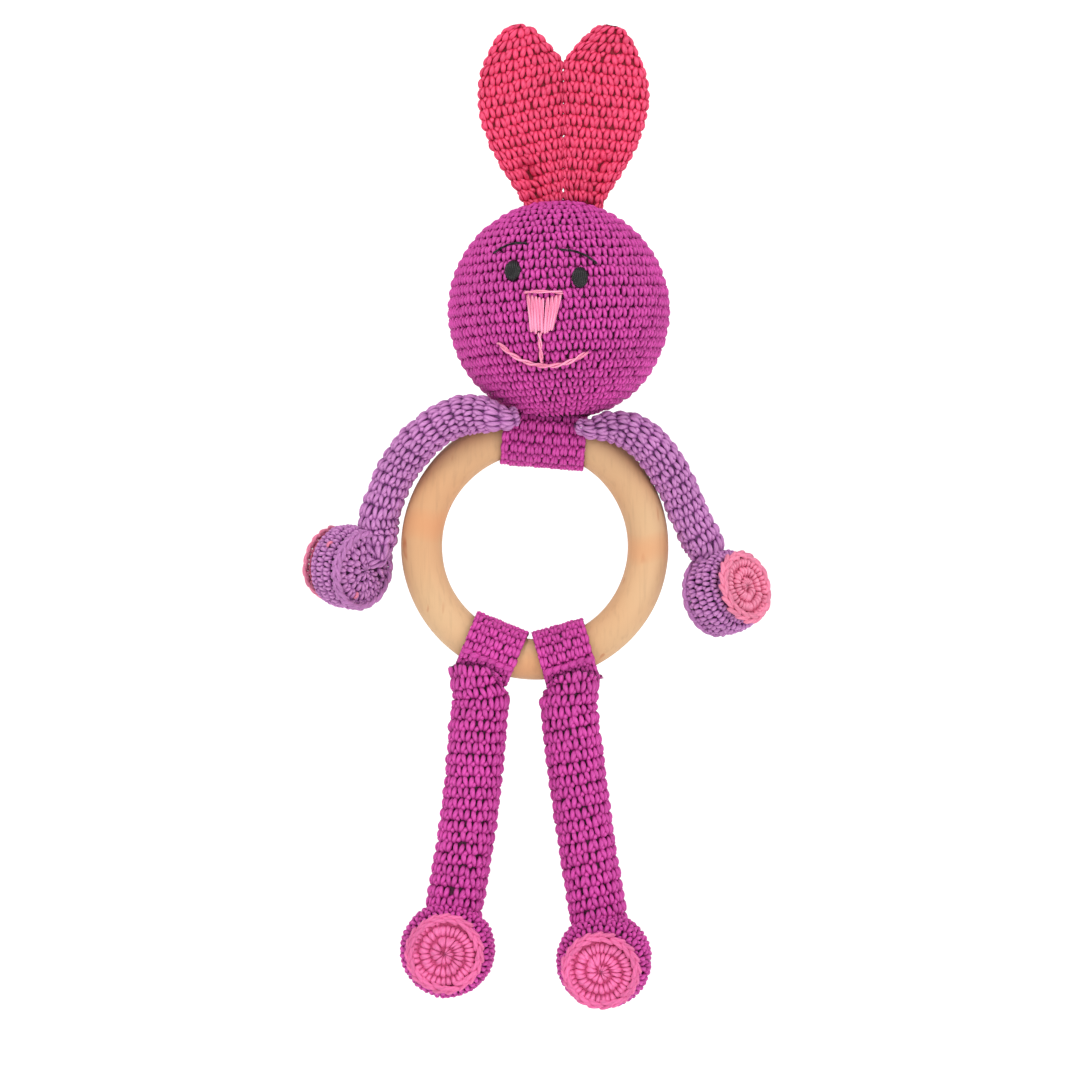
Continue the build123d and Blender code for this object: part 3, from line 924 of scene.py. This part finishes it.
neck = make_sleeve("neck_band", "neck", "crocheted_neck_band", 2.3, 3.3, 0.9, 0.5)
make_sleeve_seam("neck_band_seam", "neck_band_sewing", "neck", 1, neck, 9)
loops = {}
for side, phase in (("left", 0.3), ("right", 1.1)):
    loops[side] = make_sleeve(f"{side}_leg_loop", f"{side}_loop", f"{side}_crocheted_loop",
                              2.4, 3.1, phase, 0.6)
    make_sleeve_seam(f"{side}_leg_loop_seam", f"{side}_loop_sewing", f"{side}_loop", -1,
                     loops[side], 6)


# ------------------------------------------------------------------ head
head_low, head_high = cad_box("head_shell")
head_r = (head_high[0] - head_low[0]) / 2
head_c = np.array([(head_low[0] + head_high[0]) / 2, 0, head_high[2] - head_r])
NECK_CLEAR = 8.05                         # from the ring tube's centre to the head's loops
NECK_HOLE = 9.0                           # the head stays open over the band
off_neck = keep_off(neck[2], neck[4], NECK_CLEAR)


# how far down the head's rows each piece ends
HEAD_PIECES = {"head_crown": 0.30, "head_brow": 0.56, "head_cheeks": 0.78, "head_chin": 1.0}


def make_head():
    """The head's loops in four pieces, from the crown down to the hole over the neck band."""
    low_turn = math.pi - math.asin(NECK_HOLE / head_r)
    profile = [(head_r * math.sin(t), head_r * math.cos(t)) for t in np.linspace(0, low_turn, 120)]
    lean = unit([-0.035, 0, 1])
    form, length = turned_form(head_c, lean, profile)
    width, row = 3.0, 2.86
    cell = stitch(width, row, 0.63)
    rows = round(length / row)
    cuts = [0] + [round(rows * share) for share in HEAD_PIECES.values()]
    pitch = length / rows
    for k, name in enumerate(HEAD_PIECES):
        work = Work()
        start, stop = cuts[k] * pitch, cuts[k + 1] * pitch
        crochet(work, form, start, stop, cell, width, pitch, guard=off_neck,
                done=cuts[k], sink=0.63)
        lining(work, form, start, stop, rows=14, cols=96, guard=off_neck)
        work.make(name, MAGENTA, "head", ["head_shell"])


make_head()


# ------------------------------------------------------------------ face
def on_head(x, z, height=0.0):
    """The place on the head's front that is seen at x, z."""
    r = head_r + height
    inside = np.maximum(r ** 2 - (x - head_c[0]) ** 2 - (z - head_c[2]) ** 2, 0.5)
    return np.stack([x, head_c[1] - np.sqrt(inside), z], -1)


def thread_line(node, count=9, upright=False):
    """Middle line of an embroidered line on the front view."""
    low, high = cad_box(node)
    axis, other = (2, 0) if upright else (0, 2)
    normal = np.eye(3)[axis]
    levels = np.linspace(low[axis] + 0.35, high[axis] - 0.35, count)
    line = []
    for level in levels:
        found = cut(node, normal, level)
        line.append((level, (found[:, other].min() + found[:, other].max()) / 2))
    line = np.array(line)
    return line[:, ::-1] if upright else line


def sewn_line(node, name, material, radius, height, upright=False, ends=0.5, pitch=14):
    """A line of twisted thread laid on the head, sinking in at both ends."""
    line = resampled(thread_line(node, upright=upright), 60)
    t = np.linspace(-1, 1, len(line))
    fade = ends * 0.16
    sink = height - (height + 0.9) * np.clip((np.abs(t) - (1 - fade)) / fade, 0, 1) ** 2
    bumps = 0.10 * np.sin(np.linspace(0, TURN * 4.3, len(line)))
    work = Work()
    twine(work, on_head(line[:, 0], line[:, 1], sink + bumps), radius, pitch * radius)
    work.make(name, material, "head", [node])


def make_eye(node, name):
    """Satin stitches side by side, crowned over the middle of the eye."""
    low, high = cad_box(node)
    middle, half = (low + high) / 2, (high - low) / 2
    work = Work()
    count = 8
    tilt = math.radians(14)
    for k in range(count):
        across = -1 + (k + 0.5) * 2 / count
        reach = math.sqrt(max(1 - across ** 2, 0.10)) * (1 + rng.normal(0, 0.05))
        t = np.linspace(-1, 1, 15)
        x = across * half[0] * 0.86
        z = t * reach * half[2] * 0.97
        px = middle[0] + x * math.cos(tilt) + z * math.sin(tilt) * 0.75
        pz = middle[2] - x * math.sin(tilt) + z * math.cos(tilt)
        crown = 0.75 * (1 - across ** 2) + 0.25
        height = -0.5 + 1.15 * crown * (1 - np.abs(t) ** 3.5)
        rope(work, on_head(px, pz, height), 0.40, sides=8, taper=0.6)
    back = []
    for k in range(10):
        a = k / 10 * TURN
        back.append((middle[0] + math.cos(a) * half[0] * 0.8,
                     middle[2] + math.sin(a) * half[2] * 0.8))
    ring = resampled(back + back[:1], 40)
    rope(work, on_head(ring[:, 0], ring[:, 1], np.full(40, -0.15)), 0.42, sides=8, taper=0)
    work.make(name, BLACK_THREAD, "head", [node])


for side in ("left", "right"):
    make_eye(f"{side}_eye", f"{side}_embroidered_eye")
    sewn_line(f"{side}_eyebrow", f"{side}_sewn_eyebrow", BLACK_THREAD, 0.27, 0.22)
sewn_line("mouth_line", "sewn_mouth", ROSE_THREAD, 0.52, 0.40)
sewn_line("philtrum", "sewn_philtrum", ROSE_THREAD, 0.46, 0.42, upright=True)
sewn_line("nose_bar", "sewn_nose_bar", ROSE_THREAD, 0.38, 0.62, ends=1.0,
          pitch=30)


def make_nose():
    """Long satin stitches that fan from the bar down to the narrow end, in two halves."""
    low, high = cad_box("nose")
    top = cut("nose", UP, high[2] - 0.7)
    bottom = cut("nose", UP, low[2] + 0.9)
    work = Work()
    count = 9
    for k in range(count):
        share = (k + 0.5) / count
        spread = share + (0.02 if k > count // 2 else -0.02)
        tx = top[:, 0].min() + 0.4 + spread * (np.ptp(top[:, 0]) - 0.8)
        bx = bottom[:, 0].min() + share * np.ptp(bottom[:, 0])
        t = np.linspace(0, 1, 22)
        x = tx + (bx - tx) * t + 0.12 * np.sin(t * 3 + k)
        drop = rng.normal(0, 0.25)
        begin = high[2] + 0.5 - 1.3 * (1 - abs(2 * share - 1))
        z = begin + (low[2] - drop - begin + 0.1) * t
        crown = 1 - (2 * share - 1) ** 4 * 0.5
        height = -0.45 + 1.1 * crown * np.sin(math.pi * np.clip(t, 0.02, 0.98)) ** 0.35
        rope(work, on_head(x, z, height + rng.normal(0, 0.05)), 0.47, sides=9, taper=0.6)
    work.make("satin_stitch_nose", ROSE_THREAD, "head", ["nose"])


make_nose()


# ------------------------------------------------------------------ ears
EAR_OVER = 0.6                            # the loops stand this much wider than the outline
EAR_DROP = 4.6                            # how far the ears reach down onto the head
EAR_TUCK = {"left": (-1.6, 5.0, 2.4), "right": (2.0, 7.0, 1.7)}   # across, up, depth
EAR_BACK = 0.2                            # how much of the tuck reaches the ear's back
EAR_BEND = (-1.5, 6.0)                    # two heights above an ear's root, passed on as the ear's bend but not used
EAR_NARROW = 0.3                          # the ear narrows by this much for each mm it drops


def ear_sections(node):
    """Centres, half widths and half depth of an ear, cut square to the way it leans."""
    points = node_points(node)
    low, high = points.min(0), points.max(0)
    foot = points[points[:, 2] < low[2] + 1.5].mean(0)
    tip = points[points[:, 2] > high[2] - 0.5].mean(0)
    up = unit([tip[0] - foot[0], 0, tip[2] - foot[2]])
    across = np.array([up[2], 0, -up[0]])
    start, top = foot @ up + 2.0, (points @ up).max()
    levels = np.concatenate([np.linspace(start, top - 3.0, 40),
                             top - 3.0 + 2.9 * np.sin(np.linspace(0.1, 1.45, 12))])
    middle, wide = [], []
    for level in levels:
        reach = cut(node, up, level) @ across
        middle.append((reach.max() + reach.min()) / 2)
        wide.append((reach.max() - reach.min()) / 2)
    wide = np.array(wide)
    wide += EAR_OVER * np.clip(wide / 4, 0, 1)
    return up, across, levels[::-1], smoothed(middle, 3)[::-1], wide[::-1], high[1]


def make_ear(side):
    """A flat stuffed ear, worked in rounds from its tip, tucked where it is sewn on."""
    node = f"{side}_ear"
    up, across, levels, middle, wide, thick = ear_sections(node)
    run = np.concatenate([[0], np.cumsum(np.hypot(np.diff(levels), np.diff(wide) * 0.5))])
    deep = np.minimum(thick, wide * 0.9)
    base = levels.min()
    fold = 1 if side == "left" else -1
    tuck_x, tuck_up, tuck_deep = EAR_TUCK[side]

    def place(a, s):
        w, t = np.interp(s, run, wide), np.interp(s, run, deep)
        over = np.maximum(s - run[-1], 0)
        level = np.interp(s, run, levels) - over
        w = w - EAR_NARROW * over
        flat = np.maximum(w - t, 0.02)
        d = np.mod(a / TURN, 1) * (4 * flat + TURN * t)
        right_end, back_end = 2 * flat + math.pi * t, 4 * flat + math.pi * t
        right_turn = (d - 2 * flat) / t - math.pi / 2
        left_turn = (d - back_end) / t + math.pi / 2
        parts = [d < 2 * flat, d < right_end, d < back_end]
        x = np.select(parts, [d - flat, flat + t * np.cos(right_turn), flat - (d - right_end)],
                      -flat + t * np.cos(left_turn))
        y = np.select(parts, [-t, t * np.sin(right_turn), t], t * np.sin(left_turn))
        rel = x / np.maximum(w, 0.5)
        height = level - base
        near_base = np.clip(1 - height / 22, 0, 1) ** 1.3
        crease = 2.2 * near_base * np.exp(-((x - tuck_x) / 2.4) ** 2)
        tuck = tuck_deep * np.exp(-((x - tuck_x) / 1.7) ** 2 - ((height - tuck_up) / 3.0) ** 2)
        curl = -1.5 * near_base * rel ** 2 + 0.7 * np.sin(height / 13 + fold) * rel
        tuck = tuck * np.where(y < 0, 1.0, EAR_BACK)
        y = y * (1 + 0.12 * (1 - rel ** 2)) + crease + tuck + curl - 0.8 * near_base
        centre_x = np.interp(s, run, middle)
        return level[..., None] * up + (centre_x + x)[..., None] * across + y[..., None] * DEPTH

    form = Form(place, run[-1] * 0.5)
    work = Work()
    width, row = 3.1, 2.85
    cell = stitch(width, row, 0.70)
    off_head = keep_out(head_c, head_r - 0.7)
    crochet(work, form, 0.3, run[-1] + EAR_DROP, cell, width, row, guard=off_head,
            phase=0.2 if side == "left" else 0.7)
    lining(work, form, 0.9, run[-1] + EAR_DROP, depth=1.05, thick=0.25, rows=34, cols=64,
           guard=off_head)
    low, high = cad_box(node)
    root = np.array([(low[0] + high[0]) / 2, 0, low[2]])
    bend = [tuple((root + UP * reach) * MM) for reach in EAR_BEND]
    work.make(f"{side}_crocheted_ear", RED, f"{side}_ear", [node],
              sewn_to=("head", *bend))


make_ear("left")
make_ear("right")


# ------------------------------------------------------------------ limbs
def cushion_measure(shell, pad):
    """Centre, axis towards the pad, radius and half thickness of a hand or foot."""
    centre = cad_middle(shell)
    axis = unit(cad_middle(pad) - centre)
    radius, low, high = drum_measure(shell, centre, axis)
    return centre, axis, radius, max(abs(low), abs(high))


def drum_measure(node, centre, axis):
    """Radius of a node about an axis, and where it begins and ends along the axis."""
    points = node_points(node) - centre
    along = points @ axis
    radius = np.linalg.norm(points - along[:, None] * axis, axis=1).max()
    return radius, along.min(), along.max()


PAD_RIM = 1.6                             # width of the braid round a pad
PAD_BRAID = ((-1.55, -0.15, 0.10), (-0.75, -0.75, -0.10))    # each row's reach, lift and tilt
RIDGE_BRAID = ((0.55, 0.2, 0.10), (0.0, 1.0, -0.12))
RIDGE_IN = 1.5                            # from a hand's outer edge in to its ridge
BRAID_YARN = 0.62                         # radius of a braid's strand
BRAID_GAP = 0.90                          # cosine of half the angle that a braid leaves open
PAD_START = 6                             # stitches in a pad's first round, and added by each


def braid(work, centre, axis, bands, count_at, radius, height, half, uneven, arch, lean,
          open_to=None):
    """Rows of stitches round an axis. half is half a stitch's width as a share of its place in
    the row, uneven is the spread of the random radii, arch is how far a stitch's middle rises
    and its ends dive, and open_to is a direction in which the braid is left open."""
    x_dir = unit(np.cross(axis, UP))
    y_dir = np.cross(axis, x_dir)
    t = np.linspace(-1, 1, 11)
    for band, (out, lift, tilt) in enumerate(bands):
        count = count_at(out)
        for k in range(count):
            a0 = (k + 0.5 * band) / count * TURN
            spot = math.cos(a0) * x_dir + math.sin(a0) * y_dir
            if open_to is not None and spot @ open_to > BRAID_GAP:
                continue
            a = a0 + t * half * TURN / count
            r = radius + out + tilt * lean * t + uneven * rng.normal()
            h = height + lift + arch[0] * np.cos(t * math.pi / 2) - arch[1] * np.abs(t) ** 3
            path = (centre + (r * np.cos(a))[:, None] * x_dir
                    + (r * np.sin(a))[:, None] * y_dir + h[:, None] * axis)
            rope(work, path, BRAID_YARN, sides=9, taper=0.35, lean=axis)


def make_pad(side, part, name, body, material, centre, axis, rounds):
    """A crocheted disc sewn on: rounds of pairs worked from the middle, edged by a braid."""
    node = f"{side}_{part}_pad"
    radius, low, high = drum_measure(node, centre, axis)
    field = radius - PAD_RIM
    profile = [(r, high - 0.25 + 0.55 * (1 - (r / field) ** 2)) for r in np.linspace(0, field, 12)]
    profile += [(field + 0.5, high - 0.9), (field + 0.9, low + 0.5), (field + 0.4, low + 0.05)]
    profile += [(r, low + 0.02) for r in np.linspace(field - 0.5, 0.4, 5)]
    form, length = turned_form(centre, axis, profile)
    work = Work()
    row = field / rounds
    width = 2.55
    cell = pair(width, row, 0.74)
    start = 0.15
    for k in range(rounds):
        crochet(work, form, start + k * row, start + (k + 1) * row, cell, width, row, sink=0.42,
                loose=0.04, count=PAD_START * (k + 1))
    lining(work, form, 0.05, length - 0.05, depth=0.75, thick=0.2, rows=40, cols=40, shade=0.35)
    braid(work, centre, axis, PAD_BRAID, lambda out: max(10, round(TURN * (radius + out) / 3.1)),
          radius, high, half=0.72, uneven=0.12, arch=(0.30, 0.55), lean=5)
    work.make(name, material, body, [node])


STRAY_LOOPS = ((0.20, -0.71), (-0.48, 0.56))    # across and up on the hand, in hand radii


def front_spot(form, length, x, z):
    """The nearest place of a form that is seen at x, z from the front, and its outward normal."""
    a, s = np.meshgrid(np.linspace(0, TURN, 181), np.linspace(0.5, length - 0.5, 121))
    spots = form.at(a, s, np.zeros(a.shape))
    miss = np.hypot(spots[..., 0] - x, spots[..., 2] - z)
    seen = np.where(miss < miss.min() + 0.4, spots[..., 1], np.inf)
    k = np.unravel_index(seen.argmin(), seen.shape)
    return spots[k], unit(form.at(a[k], s[k], np.array(1.0)) - spots[k])


def stray_loop(name, body, spot, normal):
    """A short stitch of the palm's yarn that shows through to the front."""
    along = unit(np.cross(normal, DEPTH))
    t = np.linspace(-1, 1, 9)[:, None]
    work = Work()
    path = spot + along * t * 0.9 + normal * (0.25 - 0.7 * t ** 2)
    rope(work, path, 0.42, taper=0.4, lean=normal)
    work.make(name, PALM_PINK, body)


ROUNDING = {"hand": 3.6, "foot": 5.4}     # radius of a cushion's edge
CUSHION_STITCH = {"hand": (2.75, 2.75), "foot": (3.0, 2.9)}     # width and height


def make_cushion(side, part, name, body, material, front_first, replaced):
    """A hand or foot: rounds worked from one face's middle over the rim to the other."""
    shell, pad = f"{side}_{part}_shell", f"{side}_{'palm' if part == 'hand' else 'foot'}_pad"
    centre, axis, radius, half = cushion_measure(shell, pad)
    start_axis = axis if front_first else -axis
    profile = smoothed(resampled(drum_profile(radius, half, ROUNDING[part], 0.5), 90), 3)
    profile[0, 0] = profile[-1, 0] = 0
    form, length = turned_form(centre, start_axis, profile)
    work = Work()
    width, row = CUSHION_STITCH[part]
    cell = stitch(width, row, 0.62)
    crochet(work, form, 0.2, length - 0.3, cell, width, row, phase=0.15)
    lining(work, form, 0.05, length - 0.05, rows=44, cols=48)
    if (side, part) == ("left", "hand"):
        for k, (x, z) in enumerate(STRAY_LOOPS, 1):
            spot = front_spot(form, length, centre[0] + x * radius, centre[2] + z * radius)
            stray_loop(f"palm_loop_{k}", body, *spot)
    work.make(name, material, body, replaced)
    return centre, axis, radius, half


def make_rim(side, centre, axis, radius, half):
    """The ridge of joining stitches round the back of a hand: a braid that stands proud."""
    work = Work()
    r0 = radius - RIDGE_IN
    braid(work, centre, -axis, RIDGE_BRAID, lambda out: round(TURN * r0 / 3.0), r0, half - 1.2,
          half=0.70, uneven=0.08, arch=(0.28, 0.5), lean=4,
          open_to=unit(arm_line[side][0][-1] - centre))
    work.make(f"{side}_hand_ridge", ORCHID, f"{side}_arm", [f"{side}_hand_rim"])


LOOP_CLEAR = 8.5                          # how far a leg's top keeps from its loop's axis
LEG_INTO_FOOT = 9.0                       # how far a leg's path runs on into its foot
LEG_INTO_LOOP = 5.4                       # and on past its highest section, to its loop
SKIP_IN = 1.4                             # a limb's loops this deep in its end are left out
LEG_TOP = 8.0                             # how far the leg widens down from its loop
LEG_TOP_DEEP = 7.5                        # half depth where it takes in the loop
LEG_TOP_FLARE = 0.7                       # how much wider the leg is at its loop
arm_line = {}
for side, sign in (("left", -1), ("right", 1)):
    node = f"{side}_arm_tube"
    points = node_points(node)
    angles = np.arctan2(points[:, 0], points[:, 2])
    first, last = (angles.max(), angles.min()) if sign < 0 else (angles.min(), angles.max())
    centres, radii = limb_line(node, first + sign * 0.035, last - sign * 0.02, 40)
    arm_line[side] = (centres, radii)


def make_arm(side):
    """An arm, worked from the hand up, so that its V's open towards the shoulder."""
    centres, radii = arm_line[side]
    hand_centre, palm_axis, hand_r, hand_half = make_cushion(
        side, "hand", f"{side}_crocheted_hand", f"{side}_arm", ORCHID, False,
        [f"{side}_hand_shell"])
    line, size = centres[::-1], radii[::-1]
    size = np.maximum(size, 2.2)
    inward = unit(hand_centre - line[0])
    line = np.concatenate([[line[0] + inward * 2.0], line])
    size = np.concatenate([[size[0]], size])
    line, size = domed(line, size)
    form, length = tube_of(line, size, size, closed=True)
    work = Work()
    width, row = 3.1, 3.05
    cell = stitch(width, row, 0.70, splay=1.1)
    # a dark core inside the arm, painted shade that shows between its loops
    rope(work, line, np.maximum(size - 1.0, 0.1), sides=20, taper=0, rise=0.2)
    crochet(work, form, 0.0, length + 0.45 * row, cell, width, row, loose=0.06,
            skip=inside_drum(hand_centre, palm_axis, hand_r - SKIP_IN, hand_half - SKIP_IN))
    lining(work, form, 0.2, length - 0.2, rows=52, cols=32)
    work.make(f"{side}_crocheted_arm", ORCHID, f"{side}_arm", [f"{side}_arm_tube"])
    make_rim(side, hand_centre, palm_axis, hand_r, hand_half)
    make_pad(side, "palm", f"{side}_crocheted_palm", f"{side}_arm", PALM_PINK,
             hand_centre, palm_axis, 3)


def make_leg(side):
    """A leg, worked from the foot up to its strap loop."""
    foot_centre, sole_axis, foot_r, foot_half = make_cushion(
        side, "foot", f"{side}_crocheted_foot", f"{side}_leg", MAGENTA, True,
        [f"{side}_foot_shell"])
    make_pad(side, "foot", f"{side}_crocheted_sole", f"{side}_leg", PINK,
             foot_centre, sole_axis, 3)
    node = f"{side}_leg_tube"
    top = cad_box(node)[1][2]
    levels = np.linspace(foot_centre[2] + foot_r - 0.5, top - 4.0, 24)
    centres, wide, deep = upright_line(node, levels)
    slope = (centres[0, 0] - centres[-1, 0]) / (centres[0, 2] - centres[-1, 2])
    first = centres[0] + np.array([-slope * LEG_INTO_FOOT, 0, -LEG_INTO_FOOT])
    top_slope = (centres[-1, 0] - centres[-6, 0]) / (centres[-1, 2] - centres[-6, 2])
    last = centres[-1] + np.array([top_slope * LEG_INTO_LOOP, 0, LEG_INTO_LOOP])
    centres = np.concatenate([[first], centres, [last]])
    wide = np.maximum(wide, np.median(wide))
    wide = np.concatenate([[wide[0]], smoothed(wide, 2), [wide[-1] + LEG_TOP_FLARE]])
    deep = np.full(len(wide), np.median(deep))
    top_share = np.clip((centres[:, 2] - centres[-1, 2]) / LEG_TOP + 1, 0, 1)
    deep += (LEG_TOP_DEEP - deep) * top_share
    form, length = tube_of(centres, wide, deep)
    _, _, loop_centre, _, loop_along = loops[side]
    off_loop = keep_off(loop_centre, loop_along, LOOP_CLEAR)
    form = sloped(form, length, last[0], 0.5 * loop_along[2] / loop_along[0])
    work = Work()
    width, row = 3.2, 3.05
    cell = stitch(width, row, 0.72)
    crochet(work, form, 0.0, length, cell, width, row, guard=off_loop, loose=0.055,
            skip=inside_drum(foot_centre, sole_axis, foot_r - SKIP_IN, foot_half - SKIP_IN))
    lining(work, form, 0.2, length - 0.2, rows=48, cols=40, guard=off_loop)
    work.make(f"{side}_crocheted_leg", MAGENTA, f"{side}_leg", [node])


for side in ("left", "right"):
    make_arm(side)
    make_leg(side)


# ------------------------------------------------------------------ carried-over nodes
record = frame["record"]
slot_of = {part["node"]: part["material_slot"] for part in record["subparts"]}
for name, piece in frame["nodes"].items():
    if slot_of[name] in CAD_MATERIALS:
        piece.data.materials.clear()
        piece.data.materials.append(CAD_MATERIALS[slot_of[name]])
        piece.data.polygons.foreach_set("use_smooth", [True] * len(piece.data.polygons))


# ------------------------------------------------------------------ room, light, camera
def make_room():
    """A white dish: a round floor that curves up to a low wall, beyond every camera."""
    floor_z, flat_r, bend, wall_top, spokes = -0.175, 2.0, 0.8, 1.1, 96
    outline = [(r, floor_z) for r in np.linspace(0.2, flat_r, 10)]
    for t in np.linspace(0, math.pi / 2, 14)[1:]:
        outline.append((flat_r + bend * math.sin(t), floor_z + bend - bend * math.cos(t)))
    outline.append((flat_r + bend, wall_top))
    turn = np.arange(spokes) / spokes * TURN
    verts = [(0, 0, floor_z)]
    verts += [(r * math.cos(a), r * math.sin(a), z) for r, z in outline for a in turn]
    faces = [(0, 1 + k, 1 + (k + 1) % spokes) for k in range(spokes)]
    for i in range(len(outline) - 1):
        low, high = 1 + i * spokes, 1 + (i + 1) * spokes
        faces += [(low + k, high + k, high + (k + 1) % spokes, low + (k + 1) % spokes)
                  for k in range(spokes)]
    mesh = bpy.data.meshes.new("paper_dish")
    mesh.from_pydata(verts, [], faces)
    mesh.polygons.foreach_set("use_smooth", [True] * len(faces))
    dish = bpy.data.objects.new("paper_dish", mesh)
    bpy.context.scene.collection.objects.link(dish)
    n = Nodes("white paper")
    grain = n.ramp(n.noise(300, 3), (0.3, 0.955), (0.7, 0.975))
    n.link(grain, n.shader.inputs["Base Color"])
    n.set(Roughness=0.9, Specular_IOR_Level=0.1, Emission_Strength=0.3)
    n.shader.inputs["Emission Color"].default_value = (1, 1, 1, 1)
    mesh.materials.append(n.material)


def area_light(name, place, aim, size, power, colour=(1, 1, 1)):
    data = bpy.data.lights.new(name, "AREA")
    data.shape, data.size, data.energy, data.color = "DISK", size, power, colour
    light = bpy.data.objects.new(name, data)
    light.location = place
    light.rotation_euler = (Vector(aim) - Vector(place)).to_track_quat("-Z", "Y").to_euler()
    bpy.context.scene.collection.objects.link(light)


make_room()
area_light("key light", (-0.3, -0.7, 1.3), (0, 0, 0), 0.55, 10.0, (1, 0.985, 0.97))
area_light("fill light", (0.9, -1.1, 0.3), (0, 0, 0), 0.9, 4.0)

world = bpy.data.worlds.new("studio")
world.use_nodes = True
world.node_tree.nodes["Background"].inputs["Color"].default_value = (1, 1, 1, 1)
world.node_tree.nodes["Background"].inputs["Strength"].default_value = 0.62
bpy.context.scene.world = world
bpy.context.scene.view_settings.view_transform = "Standard"

camera_data = bpy.data.cameras.new("camera")
distance, frame_width = 1.4, 0.2823
camera_data.sensor_width = 36.0
camera_data.lens = 36.0 * distance / frame_width
camera = bpy.data.objects.new("camera", camera_data)
camera.location = (0.0013, -distance, 0.0016)
camera.rotation_euler = (math.radians(90), 0, 0)
bpy.context.scene.collection.objects.link(camera)
bpy.context.scene.camera = camera
